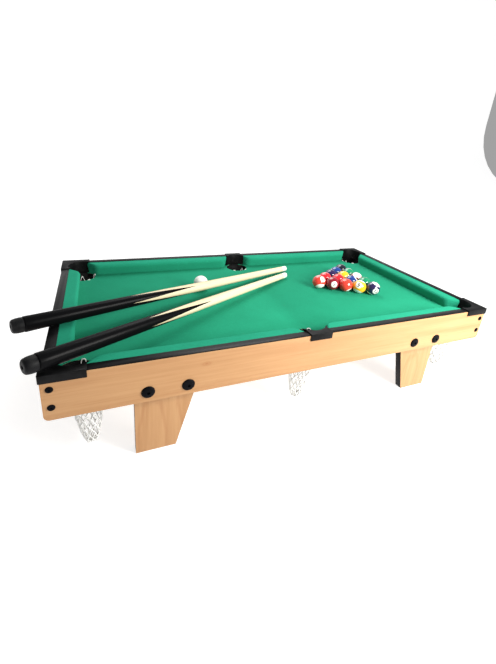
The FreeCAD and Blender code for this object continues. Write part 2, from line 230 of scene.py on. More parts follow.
@dataclass(frozen=True)
class MapleFoil(Finish):
    """Printed maple foil: fine streaks, with arches on the legs and a knot where one is given."""

    grain: Grain
    pale: RGB = (0.47, 0.262, 0.118)
    tan: RGB = (0.40, 0.205, 0.085)
    streak: RGB = (0.32, 0.130, 0.046)
    offset: float = 0.0
    knot: tuple[float, float] | None = None

    def stretch(self, along: float, across: float) -> tuple[float, float, float]:
        """Pattern scales with the long direction on the grain."""
        if self.grain is Grain.ALONG_X:
            return (along, across, across)
        if self.grain is Grain.ALONG_Y:
            return (across, along, across)
        return (across, across, along)

    def arches(self, g: Graph) -> Any:
        """Thin lines that form nested arches, 1 on a line."""
        drift = g.noise(g.placed(self.stretch(9.0, 30.0)), 1.0, 3.0, 0.5)
        x, _, z = g.parts(g.placed((1, 1, 1), (self.offset, 0, 0.012)))
        wide = g.times(x, 46.0)
        tall = g.times(z, 9.0)
        squares = g.plus(g.times(wide, wide), g.times(tall, tall))
        rings = g.plus(g.math("SQRT", squares), g.times(drift, 0.9))
        wave = g.math("SINE", g.times(rings, 6.5))
        return g.span(wave, 0.72, 1.0)

    def knot_share(self, g: Graph) -> Any:
        """1 at the heart of a small knot, falling to 0 round it, with a ring."""
        wide, tall = 110.0, 240.0
        place = (-wide * self.knot[0], 0.0, -tall * self.knot[1])
        x, _, z = g.parts(g.placed((wide, 1.0, tall), place))
        squares = g.plus(g.times(x, x), g.times(z, z))
        reach = g.math("SQRT", squares)
        ring = g.times(g.math("SINE", g.times(reach, 14.0)), 0.25)
        return g.times(g.span(reach, 0.1, 1.0, 0.9, 0.0), g.plus(ring, 0.75))

    def shade(self, g: Graph) -> dict[str, Any]:
        """The pattern and the gloss."""
        figure = g.noise(g.placed(self.stretch(4.0, 95.0), (self.offset,) * 3), 1.0, 5.0, 0.6)
        fine = g.noise(g.placed(self.stretch(9.0, 700.0)), 1.0, 4.0, 0.65)
        pores = g.noise(g.placed(self.stretch(130.0, 2600.0)), 1.0, 2.0, 0.5)
        cloud = g.noise(g.placed(self.stretch(4.0, 12.0)), 1.0, 2.0, 0.5)
        body = g.mix(g.span(figure, 0.39, 0.61), self.tan, self.pale)
        body = g.mix(g.span(cloud, 0.35, 0.7, 0.0, 0.3), body, self.tan)
        body = g.mix(g.span(fine, 0.56, 0.76, 0.0, 0.5), body, self.streak)
        body = g.mix(g.span(pores, 0.64, 0.74, 0.0, 0.25), body, self.streak)
        if self.grain is Grain.CATHEDRAL:
            body = g.mix(g.times(self.arches(g), 0.32), body, self.streak)
        if self.knot:
            body = g.mix(self.knot_share(g), body, self.streak)
        relief = g.plus(g.times(fine, 0.6), g.times(pores, 0.5))
        return {
            "Base Color": body,
            "Roughness": g.span(fine, 0.3, 0.7, 0.40, 0.52),
            "Specular IOR Level": 0.35,
            "Normal": g.bump(relief, 0.12, 0.0001),
        }


@dataclass(frozen=True)
class BlackFinish(Finish):
    """A black plastic, rubber or blackened steel: colour, gloss, and the grain of its mould."""

    colour: RGB = (0.0035, 0.0035, 0.0038)
    worn: RGB = (0.010, 0.010, 0.011)
    rough_low: float = 0.38
    rough_high: float = 0.55
    grain: float = 1500.0
    relief: float = 0.25
    specular: float = 0.08

    def shade(self, g: Graph) -> dict[str, Any]:
        """The pattern and the gloss."""
        here = g.placed()
        pebble = g.noise(here, self.grain, 2.0, 0.5)
        handling = g.noise(here, 60.0, 4.0, 0.6)
        return {
            "Base Color": g.mix(g.span(handling, 0.45, 0.75), self.colour, self.worn),
            "Roughness": g.span(handling, 0.3, 0.7, self.rough_low, self.rough_high),
            "Specular IOR Level": self.specular,
            "Normal": g.bump(pebble, self.relief, 0.00012),
        }


@dataclass(frozen=True)
class TwistedString(Finish):
    """White cotton string with its twist, from the coordinates stored along and round it, with painted shade
    in the grooves between its strands.
    """

    colour: RGB = (0.82, 0.82, 0.80)
    soiled: RGB = (0.70, 0.70, 0.68)
    turns_per_metre: float = 420.0

    def shade(self, g: Graph) -> dict[str, Any]:
        """The pattern and the gloss."""
        along = g.add("ShaderNodeAttribute", attribute_name="along").outputs["Fac"]
        around = g.add("ShaderNodeAttribute", attribute_name="around").outputs["Fac"]
        turn = g.plus(g.times(along, self.turns_per_metre), around)
        strands = g.math("SINE", g.times(turn, 4.0 * math.pi))
        fluff = g.noise(g.placed(), 3800.0, 3.0, 0.7)
        dirt = g.noise(g.placed(), 120.0, 3.0, 0.6)
        share = g.times(g.span(dirt, 0.35, 0.75), 0.6)
        # Painted shade: the base colour darkens in the grooves between the strands, on top of the real dirt.
        groove_shade = g.span(strands, -1.0, -0.2, 0.45, 0.0)
        return {
            "Base Color": g.mix(g.math("MAXIMUM", share, groove_shade), self.colour, self.soiled),
            "Roughness": 0.85,
            "Sheen Weight": 0.2,
            "Normal": g.bump(g.plus(strands, fluff), 0.5, 0.0002),
        }


@dataclass(frozen=True)
class RawWood(Finish):
    """Unfinished stock under the table: pressed fibreboard, or sawn pine."""

    light: RGB
    dark: RGB
    along: float = 900.0
    across: float = 900.0

    def shade(self, g: Graph) -> dict[str, Any]:
        """The pattern and the gloss."""
        fibres = g.noise(g.placed((self.along, self.across, self.across)), 1.0, 5.0, 0.7)
        patches = g.noise(g.placed(), 30.0, 3.0, 0.6)
        share = g.plus(g.times(fibres, 0.8), g.times(patches, 0.3))
        return {
            "Base Color": g.mix(g.span(share, 0.35, 0.8), self.dark, self.light),
            "Roughness": g.span(fibres, 0.2, 0.8, 0.8, 0.95),
            "Normal": g.bump(fibres, 0.35, 0.0003),
        }


@dataclass(frozen=True)
class CueLacquer(Finish):
    """One cue's wood: a black butt that ends in points, and a maple shaft, under clear lacquer."""

    place: Vector
    turn: Euler
    phase: float
    butt_end: float = 153 * MM
    point_end: float = 272 * MM
    points: int = 4
    pale: RGB = (0.74, 0.67, 0.49)
    tan: RGB = (0.64, 0.52, 0.33)
    black: RGB = (0.0035, 0.0035, 0.004)

    def black_share(self, g: Graph, along: Any, y: Any, z: Any) -> Any:
        """1 on the butt and its points, 0 on the bare shaft, with the soft edge of sprayed paint."""
        turn = g.math("ARCTAN2", z, y)
        step = g.plus(g.times(turn, self.points / math.tau), self.phase)
        off = g.times(g.size(g.math("SUBTRACT", g.math("FRACT", step), 0.5)), 2.0)
        reach = g.span(along, self.butt_end, self.point_end)
        edge = g.math("SUBTRACT", g.math("SUBTRACT", 1.0, off), reach)
        points = g.span(edge, -0.02, 0.02)
        butt = g.span(along, self.butt_end - 0.2 * MM, self.butt_end + 0.2 * MM, 1.0, 0.0)
        return g.math("MAXIMUM", points, butt)

    def shade(self, g: Graph) -> dict[str, Any]:
        """The pattern and the gloss."""
        here = g.local(self.place, self.turn)
        along, y, z = g.parts(here)
        black = self.black_share(g, along, y, z)
        stretched = g.add("ShaderNodeMapping", {"Vector": here, "Scale": (5.0, 160.0, 160.0)}).outputs[0]
        fine = g.add("ShaderNodeMapping", {"Vector": here, "Scale": (30.0, 1500.0, 1500.0)}).outputs[0]
        figure = g.noise(stretched, 1.0, 4.0, 0.6)
        pores = g.noise(fine, 1.0, 2.0, 0.6)
        maple = g.mix(g.span(figure, 0.35, 0.7), self.tan, self.pale)
        maple = g.mix(g.span(pores, 0.6, 0.8, 0.0, 0.3), maple, self.tan)
        return {
            "Base Color": g.mix(black, maple, self.black),
            "Roughness": g.span(pores, 0.3, 0.7, 0.30, 0.38),
            "Specular IOR Level": 0.03,
            "Coat Weight": 0.02,
            "Coat Roughness": 0.15,
            "Normal": g.bump(pores, 0.05, 0.0001),
        }


@dataclass(frozen=True)
class Speckled(Finish):
    """A surface with one fine pattern, which mixes two colours and varies gloss and relief."""

    scale: float
    detail: float
    rough: float
    colours: tuple[RGB, RGB]
    share: tuple[float, float, float] = (0.0, 1.0, 1.0)
    gloss: tuple[float, float] = (0.9, 0.9)
    relief: float = 0.0
    more: tuple[tuple[str, Any], ...] = ()

    def shade(self, g: Graph) -> dict[str, Any]:
        """The pattern and the gloss."""
        speck = g.noise(g.placed(), self.scale, self.detail, self.rough)
        low, high, most = self.share
        return {
            "Base Color": g.mix(g.span(speck, low, high, 0.0, most), *self.colours),
            "Roughness": g.span(speck, 0.3, 0.7, *self.gloss),
            "Normal": g.bump(speck, self.relief, 0.0001),
            **dict(self.more),
        }


@dataclass(frozen=True)
class BallResin(Finish):
    """Polished resin of one ball: plain, or a solid colour or a band, with two number discs."""

    place: Vector
    turn: Euler
    radius: float
    pattern: Pattern
    colour: RGB
    white: RGB = (0.90, 0.89, 0.84)
    disc: float = 0.47
    band: float = 0.72

    def colour_share(self, g: Graph) -> Any:
        """1 where the ball is coloured, 0 where it is white."""
        x, _, z = g.parts(g.local(self.place, self.turn, self.radius))
        disc_edge = math.cos(math.asin(self.disc))
        share = g.span(g.size(x), disc_edge - 0.004, disc_edge + 0.004, 1.0, 0.0)
        if self.pattern is Pattern.STRIPE:
            stripe = g.span(g.size(z), self.band - 0.01, self.band + 0.01, 1.0, 0.0)
            share = g.times(share, stripe)
        return share

    def shade(self, g: Graph) -> dict[str, Any]:
        """The pattern and the gloss."""
        marbling = g.noise(g.placed(), 210.0, 4.0, 0.6)
        scuffs = g.noise(g.placed(), 1400.0, 5.0, 0.7)
        white = g.mix(marbling, tuple(0.93 * c for c in self.white), self.white)
        if self.pattern is not Pattern.PLAIN:
            deep = tuple(0.78 * c for c in self.colour)
            white = g.mix(self.colour_share(g), white, g.mix(marbling, deep, self.colour))
        return {
            "Base Color": white,
            "Roughness": g.span(scuffs, 0.35, 0.75, 0.06, 0.16),
            "Coat Weight": 0.4,
            "Coat Roughness": 0.04,
            "Normal": g.bump(scuffs, 0.015, 0.00005),
        }


ZINC = Speckled(
    "zinc", 900.0, 4.0, 0.6, ((0.50, 0.50, 0.47), (0.74, 0.74, 0.71)),
    gloss=(0.28, 0.48), relief=0.1, more=(("Metallic", 1.0),),
)
TIP_PLASTIC = Speckled(
    "tip_plastic", 260.0, 4.0, 0.65, ((0.86, 0.85, 0.80), (0.70, 0.74, 0.74)),
    share=(0.5, 0.8, 0.6), gloss=(0.3, 0.5), relief=0.08,
)
NUMBER_INK = Speckled(
    "number_ink", 1800.0, 3.0, 0.6, ((0.012, 0.012, 0.014), (0.06, 0.06, 0.065)),
    share=(0.55, 0.85, 1.0), gloss=(0.12, 0.25), more=(("Coat Weight", 0.3),),
)
PALE_FLOOR = Speckled(
    "pale_floor", 3.0, 2.0, 0.5, ((0.50, 0.50, 0.50), (0.53, 0.53, 0.53)),
    more=(("Specular IOR Level", 0.1), ("Emission Color", (1.0,) * 4), ("Emission Strength", 0.75)),
)


# Mesh work


def new_piece(name: str, mesh: bpy.types.Mesh, materials: Sequence[Material]) -> bpy.types.Object:
    """Puts a mesh into the scene as a piece, at the origin.

    Args:
        name: the piece's name.
        mesh: its mesh, already in place.
        materials: one material for each slot of the mesh.

    Returns:
        The new object.
    """
    piece = bpy.data.objects.new(name, mesh)
    bpy.context.scene.collection.objects.link(piece)
    for material in materials:
        mesh.materials.append(material)
    return piece


def settle(piece: bpy.types.Object, body: str, slot: str, *nodes: str) -> bpy.types.Object:
    """Says which body a piece rides on and which nodes it stands for.

    Args:
        piece: the finished piece.
        body: the body's name.
        slot: the record's material slot; not used.
        *nodes: the frame's nodes that the piece replaces.

    Returns:
        The same piece.
    """
    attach(piece, body)
    if nodes:
        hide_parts(*nodes)
    LOG.info("%s: %d faces, on %s", piece.name, len(piece.data.polygons), body)
    return piece


def soft_shaded(bm: BMesh, name: str, angle: float = 35.0) -> bpy.types.Mesh:
    """Turns a bmesh into a mesh with smooth faces and creases at sharp edges."""
    mesh = bpy.data.meshes.new(name)
    bm.to_mesh(mesh)
    bm.free()
    mesh.polygons.foreach_set("use_smooth", [True] * len(mesh.polygons))
    mesh.set_sharp_from_angle(angle=math.radians(angle))
    return mesh


def skin(bm: BMesh, rings: Sequence[Ring], closed: bool = True) -> list[list[Any]]:
    """Joins rings of points with quads, in order.

    Args:
        bm: the mesh to add to.
        rings: rings with the same number of points.
        closed: whether each ring closes on itself.

    Returns:
        The new vertices, ring by ring.
    """
    rows = [[bm.verts.new(p) for p in ring] for ring in rings]
    count = len(rows[0])
    for low, high in zip(rows, rows[1:]):
        for i in range(count if closed else count - 1):
            j = (i + 1) % count
            bm.faces.new((low[i], low[j], high[j], high[i]))
    return rows


def stack(rings: Sequence[Ring]) -> BMesh:
    """A closed form from rings of points, with its first and last ring filled."""
    bm = bmesh.new()
    rows = skin(bm, rings)
    bm.faces.new(rows[-1])
    bm.faces.new(list(reversed(rows[0])))
    bmesh.ops.recalc_face_normals(bm, faces=bm.faces)
    return bm


def lathe(profile: Sequence[tuple[float, float]], place: Matrix, sides: int = 64) -> BMesh:
    """A closed solid of revolution about its own X axis.

    Args:
        profile: points of (distance along X, radius), from one end to the other, none on the axis.
        place: where the solid's own axes stand in the frame.
        sides: points round each ring.

    Returns:
        The new mesh, with outward faces.
    """
    bm = bmesh.new()
    turns = [math.tau * k / sides for k in range(sides)]
    rings = [[place @ Vector((x, r * math.cos(a), r * math.sin(a))) for a in turns] for x, r in profile]
    rows = skin(bm, rings)
    for row, flip in ((rows[0], False), (rows[-1], True)):
        middle = bm.verts.new(sum((v.co for v in row), Vector()) / sides)
        for i in range(sides):
            pair = (row[i], row[(i + 1) % sides])
            bm.faces.new((middle, *(pair if flip else reversed(pair))))
    bmesh.ops.recalc_face_normals(bm, faces=bm.faces)
    return bm


def arc(x: float, r: float, radius: float, start: float, stop: float, steps: int = 6) -> Profile:
    """Points of a lathe profile on a round edge about (x, r), with angles in degrees from +X."""
    angles = [math.radians(start + (stop - start) * k / steps) for k in range(steps + 1)]
    return [(x + radius * math.cos(a), r + radius * math.sin(a)) for a in angles]


def node_copy(node: str) -> BMesh:
    """A frame node's shape as one merged mesh, with flat areas as single faces."""
    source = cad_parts[node].data
    bm = bmesh.new()
    verts = [bm.verts.new(v.co) for v in source.vertices]
    for face in source.polygons:
        bm.faces.new([verts[i] for i in face.vertices])
    bmesh.ops.remove_doubles(bm, verts=bm.verts, dist=0.005 * MM)
    bmesh.ops.dissolve_limit(bm, angle_limit=math.radians(0.6), verts=bm.verts, edges=bm.edges)
    return bm


def ease(bm: BMesh, width: float, angle: float = 40.0, steps: int = 2) -> None:
    """Rounds every edge that turns by more than an angle, in degrees."""
    sharp = [e for e in bm.edges if e.is_manifold and e.calc_face_angle() > math.radians(angle)]
    how = {"segments": steps, "profile": 0.5, "affect": "EDGES", "clamp_overlap": True}
    bmesh.ops.bevel(bm, geom=sharp, offset=width, **how)


def small_faces(bm: BMesh) -> None:
    """Splits every face of more than four corners into triangles."""
    bmesh.ops.triangulate(bm, faces=[f for f in bm.faces if len(f.verts) > 4])


def face_edges_apart(bm: BMesh, axis: int) -> None:
    """Gives a board's faces its first material and its edges the second, and splits large faces.

    Args:
        bm: the board.
        axis: the axis that its faces look along.
    """
    for face in bm.faces:
        face.material_index = 0 if abs(face.normal[axis]) > 0.85 else 1
    small_faces(bm)


def islands(node: str) -> list[tuple[Vector, Vector]]:
    """The lowest and highest corner of each separate solid of a frame node."""
    bm = node_copy(node)
    left = set(bm.verts)
    boxes = []
    while left:
        heap = [left.pop()]
        found = list(heap)
        while heap:
            for edge in heap.pop().link_edges:
                for v in edge.verts:
                    if v in left:
                        left.remove(v)
                        heap.append(v)
                        found.append(v)
        low = Vector([min(v.co[k] for v in found) for k in range(3)])
        high = Vector([max(v.co[k] for v in found) for k in range(3)])
        boxes.append((low, high))
    bm.free()
    return sorted(boxes, key=lambda b: (round(b[0].y, 4), round(b[0].x, 4), round(b[0].z, 4)))


# Geometry nodes


class NodeRecipe:
    """A Geometry Nodes tree with named inputs, run on a mesh and turned into a plain piece."""

    def __init__(self, name: str, inputs: Sequence[tuple[str, str, Any]]) -> None:
        """Starts the tree.

        Args:
            name: the tree's name.
            inputs: name, socket kind and value of each input besides the geometry.
        """
        self.tree = bpy.data.node_groups.new(name, "GeometryNodeTree")
        self.graph = Graph(self.tree)
        face = self.tree.interface
        face.new_socket(name="Geometry", in_out="INPUT", socket_type="NodeSocketGeometry")
        face.new_socket(name="Geometry", in_out="OUTPUT", socket_type="NodeSocketGeometry")
        self.keys = {}
        self.values = {}
        for label, kind, value in inputs:
            socket = face.new_socket(name=label, in_out="INPUT", socket_type=kind)
            self.keys[label] = socket.identifier
            self.values[label] = value
        self.given = self.graph.add("NodeGroupInput").outputs

    def finish(self, geometry: Any) -> None:
        """Ends the tree with Realize Instances and Set Material."""
        real = self.graph.add("GeometryNodeRealizeInstances", {0: geometry}).outputs[0]
        dress = {"Geometry": real, "Material": self.given["Finish"]}
        dressed = self.graph.add("GeometryNodeSetMaterial", dress)
        self.graph.add("NodeGroupOutput", {0: dressed.outputs[0]})

    def run(self, name: str, guide: bpy.types.Mesh, **values: Any) -> bpy.types.Object:
        """Runs the tree on a guide mesh.

        Args:
            name: the new piece's name.
            guide: the mesh that the tree starts from.
            **values: inputs that differ from the tree's own, with _ for a blank in a name.

        Returns:
            A plain mesh object with no modifier.
        """
        carrier = bpy.data.objects.new("guide", guide)
        bpy.context.scene.collection.objects.link(carrier)
        modifier = carrier.modifiers.new("recipe", "NODES")
        modifier.node_group = self.tree
        chosen = dict(self.values)
        chosen.update({key.replace("_", " "): value for key, value in values.items()})
        for label, value in chosen.items():
            modifier[self.keys[label]] = value
        bpy.context.view_layer.update()
        graph = bpy.context.evaluated_depsgraph_get()
        done = carrier.evaluated_get(graph)
        mesh = bpy.data.meshes.new_from_object(done, preserve_all_data_layers=True, depsgraph=graph)
        bpy.data.objects.remove(carrier)
        mesh.materials.clear()
        return new_piece(name, mesh, [chosen["Finish"]])


def fastener_recipe(finish: Material) -> NodeRecipe:
    """A tree that puts one fastener on each point, aimed along the point's own direction.

    Args:
        finish: the fasteners' material.

    Returns:
        The tree; its guide mesh carries the attribute "aim".
    """
    made = NodeRecipe(
        "fasteners_on_points",
        (
            ("Fastener", "NodeSocketObject", None),
            ("Turn", "NodeSocketFloat", math.pi),
            ("Seed", "NodeSocketInt", 7),
            ("Finish", "NodeSocketMaterial", finish),
        ),
    )
    g, given = made.graph, made.given
    aim = g.add("GeometryNodeInputNamedAttribute", {"Name": "aim"}, data_type="FLOAT_VECTOR").outputs[0]
    aimed = g.add("FunctionNodeAlignRotationToVector", {"Vector": aim}, axis="X").outputs[0]
    spin = g.add("FunctionNodeRandomValue", {"Max": given["Turn"], "Seed": given["Seed"]}, data_type="FLOAT")
    own = g.add("ShaderNodeCombineXYZ", {0: spin.outputs[1]}).outputs[0]
    turned = g.add("FunctionNodeRotateRotation", {0: aimed, 1: own}, rotation_space="LOCAL").outputs[0]
    shape = g.add("GeometryNodeObjectInfo", {"Object": given["Fastener"]}).outputs["Geometry"]
    put_inputs = {"Points": given["Geometry"], "Instance": shape, "Rotation": turned}
    put = g.add("GeometryNodeInstanceOnPoints", put_inputs)
    made.finish(put.outputs[0])
    return made


def string_recipe(finish: Material) -> NodeRecipe:
    """A tree that lays string along the edges of a guide mesh and ties a knot at each crossing.

    Args:
        finish: the string's material.

    Returns:
        The tree; its guide mesh marks the crossings with the attribute "knot".
    """
    made = NodeRecipe(
        "string_on_edges",
        (
            ("Radius", "NodeSocketFloat", 0.75 * MM),
            ("Sides", "NodeSocketInt", 6),
            ("Knot Size", "NodeSocketFloat", 1.05 * MM),
            ("Spacing", "NodeSocketFloat", 1.6 * MM),
            ("Finish", "NodeSocketMaterial", finish),
        ),
    )
    g, given = made.graph, made.given
    curve = g.add("GeometryNodeMeshToCurve", {0: given["Geometry"]}).outputs[0]
    spacing = {"Curve": curve, "Length": given["Spacing"]}
    spaced = g.add("GeometryNodeResampleCurve", spacing, mode="LENGTH").outputs[0]
    length = g.add("GeometryNodeSplineParameter").outputs["Length"]
    mark = {0: spaced, "Name": "along", "Value": length}
    marked = g.add("GeometryNodeStoreNamedAttribute", mark).outputs[0]
    round_inputs = {"Resolution": given["Sides"], "Radius": given["Radius"]}
    circle = g.add("GeometryNodeCurvePrimitiveCircle", round_inputs)
    share = g.add("GeometryNodeSplineParameter").outputs["Factor"]
    profile = {0: circle.outputs[0], "Name": "around", "Value": share}
    section = g.add("GeometryNodeStoreNamedAttribute", profile).outputs[0]
    tube_inputs = {"Curve": marked, "Profile Curve": section, "Fill Caps": True}
    tube = g.add("GeometryNodeCurveToMesh", tube_inputs).outputs[0]
    ball = g.add("GeometryNodeMeshIcoSphere", {"Radius": given["Knot Size"], "Subdivisions": 1}).outputs[0]
    knotted = g.add("GeometryNodeInputNamedAttribute", {"Name": "knot"}, data_type="BOOLEAN").outputs[0]
    put_inputs = {"Points": given["Geometry"], "Selection": knotted, "Instance": ball}
    knots = g.add("GeometryNodeInstanceOnPoints", put_inputs).outputs[0]
    both = g.add("GeometryNodeJoinGeometry")
    g.tree.links.new(knots, both.inputs[0])
    g.tree.links.new(tube, both.inputs[0])
    made.finish(both.outputs[0])
    return made


# Sub-assemblies


@dataclass
class Bed:
    """The playfield: raw board below, its edges and hole walls black as painted shade, felt cloth glued on
    top.
    """

    cloth_felt: Material
    board_wood: Material
    edging: Material
    edge_round: float = 0.35 * MM

    def build(self) -> None:
        """Makes the board and the cloth."""
        bm = node_copy("playfield_board")
        # The board's edges and the walls of its pocket holes take the black edging: painted shade inside the
        # holes.
        face_edges_apart(bm, 2)
        board = new_piece("bed_board", soft_shaded(bm, "bed_board", 30.0), [self.board_wood, self.edging])
        settle(board, "table", "bed_board", "playfield_board")
        bm = node_copy("playfield_cloth")
        area = sum(f.calc_area() for f in bm.faces if f.normal.z > 0.9)
        ease(bm, self.edge_round, 50.0, 2)
        small_faces(bm)
        cloth = new_piece("bed_cloth", soft_shaded(bm, "bed_cloth"), [self.cloth_felt])
        settle(cloth, "table", "green_felt", "playfield_cloth")


@dataclass
class Boards:
    """Foil-faced boards: four aprons and four legs, with black edges all round, and black inner faces on the
    aprons as painted shade.
    """

    front_foil: Material
    back_foil: Material
    end_foil: Material
    leg_foils: Sequence[Material]
    edging: Material
    ease_width: float = 0.45 * MM
    flat_limit: float = 0.9999

    def board(self, node: str, foil: Material, axis: int, inner_painted_shade: bool) -> None:
        """Makes one board: foil on its faces, edging on its edges.

        Args:
            node: the frame node that the board stands for.
            foil: the foil on the faces.
            axis: the axis that the faces look along, 0 for X or 1 for Y.
            inner_painted_shade: whether the face towards the table's middle is black as well, as painted
                shade inside the table.
        """
        bm = node_copy(node)
        ease(bm, self.ease_width, 50.0, 2)
        face_edges_apart(bm, axis)
        # Painted shade: the faces towards the table's middle take the black edging, dark as if in shadow
        # below the bed.
        if inner_painted_shade:
            for face in bm.faces:
                if face.normal[axis] * face.calc_center_median()[axis] < 0:
                    face.material_index = 1
        mesh = soft_shaded(bm, node, 30.0)
        for polygon in mesh.polygons:
            polygon.use_smooth = abs(polygon.normal[axis]) < self.flat_limit
        piece = new_piece("board_" + node, mesh, [foil, self.edging])
        settle(piece, "table", "maple_foil", node)

    def build(self) -> None:
        """Makes all eight boards."""
        # The aprons get black inner faces as painted shade; the legs keep foil on both faces.
        for side, foil in (("front", self.front_foil), ("back", self.back_foil)):
            self.board("apron_" + side, foil, 1, True)
        for side in ("left", "right"):
            self.board("apron_" + side, self.end_foil, 0, True)
        legs = [f"leg_{end}_{hand}" for end in ("back", "front") for hand in ("left", "right")]
        for node, foil in zip(legs, self.leg_foils):
            self.board(node, foil, 1, False)


@dataclass
class Mouldings:
    """Black plastic: the six pockets, and the bands on the top edges of the aprons."""

    pocket_plastic: Material
    edging: Material
    pocket_ease: float = 0.25 * MM
    trim_ease: float = 0.25 * MM

    def build(self) -> None:
        """Makes each moulding from its node, with eased edges."""
        for node in sorted(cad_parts):
            if "pocket_" in node and "net" not in node:
                self.moulding(node, self.pocket_plastic, self.pocket_ease, "pocket_plastic")
            elif node.startswith("rail_trim"):
                self.moulding(node, self.edging, self.trim_ease, "black_edging")

    def moulding(self, node: str, plastic: Material, width: float, slot: str) -> None:
        """One moulding."""
        bm = node_copy(node)
        ease(bm, width, 60.0, 2)
        small_faces(bm)
        piece = new_piece("moulded_" + node, soft_shaded(bm, node, 25.0), [plastic])
        settle(piece, "table", slot, node)


@dataclass
class RailCushion:
    """One cushion: felt pulled tight over rubber, with slanting round ends at the pockets."""

    node: str
    felt: Material
    start_slant: float
    end_slant: float
    nose_round: float = 5.0 * MM
    corner_round: float = 15.0 * MM
    undercut: float = 6.0 * MM
    end_share: float = 0.45
    steps: int = 40

    def axes(self) -> tuple[Vector, Vector, Vector, float, float]:
        """The rail's start, its direction, the way to the nose, and the cushion's length and width."""
        low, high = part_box(self.node)
        size = high - low
        if size.x > size.y:
            rail = low.y if low.y < 0 else high.y
            out = Vector((0, -math.copysign(1, rail), 0))
            return Vector((low.x, rail, 0)), Vector((1, 0, 0)), out, size.x, size.y
        rail = low.x if low.x < 0 else high.x
        out = Vector((-math.copysign(1, rail), 0, 0))
        return Vector((rail, low.y, 0)), Vector((0, 1, 0)), out, size.y, size.x

    def end_plan(self, slant: float, inset: float, width: float) -> Profile:
        """The plan of one end at an inset, as (along, out) points from the rail to the nose line."""
        nose = width - inset
        shift = self.end_share * inset * math.hypot(slant, width) / width
        lean = math.atan2(width, slant)
        rounding = max(self.corner_round - inset, 0.8 * MM)
        middle = shift + slant * nose / width + rounding * math.tan(lean / 2)
        turns = [lean * k / 6 for k in range(6, -1, -1)]
        bend = [(middle - rounding * math.sin(a), nose - rounding + rounding * math.cos(a)) for a in turns]
        first = bend[0]
        return [(shift + (first[0] - shift) * k / 4, first[1] * k / 4) for k in range(4)] + bend

    def outline(self, inset: float, length: float, width: float) -> Profile:
        """The whole plan at an inset from the widest line, from rail to rail."""
        near = self.end_plan(self.start_slant, inset, width)
        far = [(length - s, u) for s, u in reversed(self.end_plan(self.end_slant, inset, width))]
        start, stop = near[-1], far[0]
        run = [(start[0] + (stop[0] - start[0]) * k / self.steps, start[1]) for k in range(1, self.steps)]
        return near + run + far

    def section(self, bottom: float, top: float) -> Profile:
        """The nose's shape as (inset, height) points, from the cloth up to the flat top."""
        lean = math.atan2(self.undercut, top - bottom)
        angles = [-lean + (math.pi / 2 + lean) * k / 9 for k in range(10)]
        r = self.nose_round
        bend = [(r - r * math.cos(a), top - r + r * math.sin(a)) for a in angles]
        start = bend[0]
        foot = start[0] + (start[1] - bottom) * math.tan(lean)
        rise = [(foot + (start[0] - foot) * k / 4, bottom + (start[1] - bottom) * k / 4) for k in range(4)]
        return rise + bend + [(r + 2.4 * MM, top)]

    def build(self) -> None:
        """Makes the cushion."""
        low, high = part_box(self.node)
        start, along, out, length, width = self.axes()
        rings = []
        for inset, height in self.section(low.z, high.z):
            plan = self.outline(inset, length, width)
            rings.append([start + along * s + out * u + Vector((0, 0, height)) for s, u in plan])
        bm = stack(rings)
        small_faces(bm)
        piece = new_piece("felt_" + self.node, soft_shaded(bm, self.node, 50.0), [self.felt])
        settle(piece, "table", "cushion_felt", self.node)


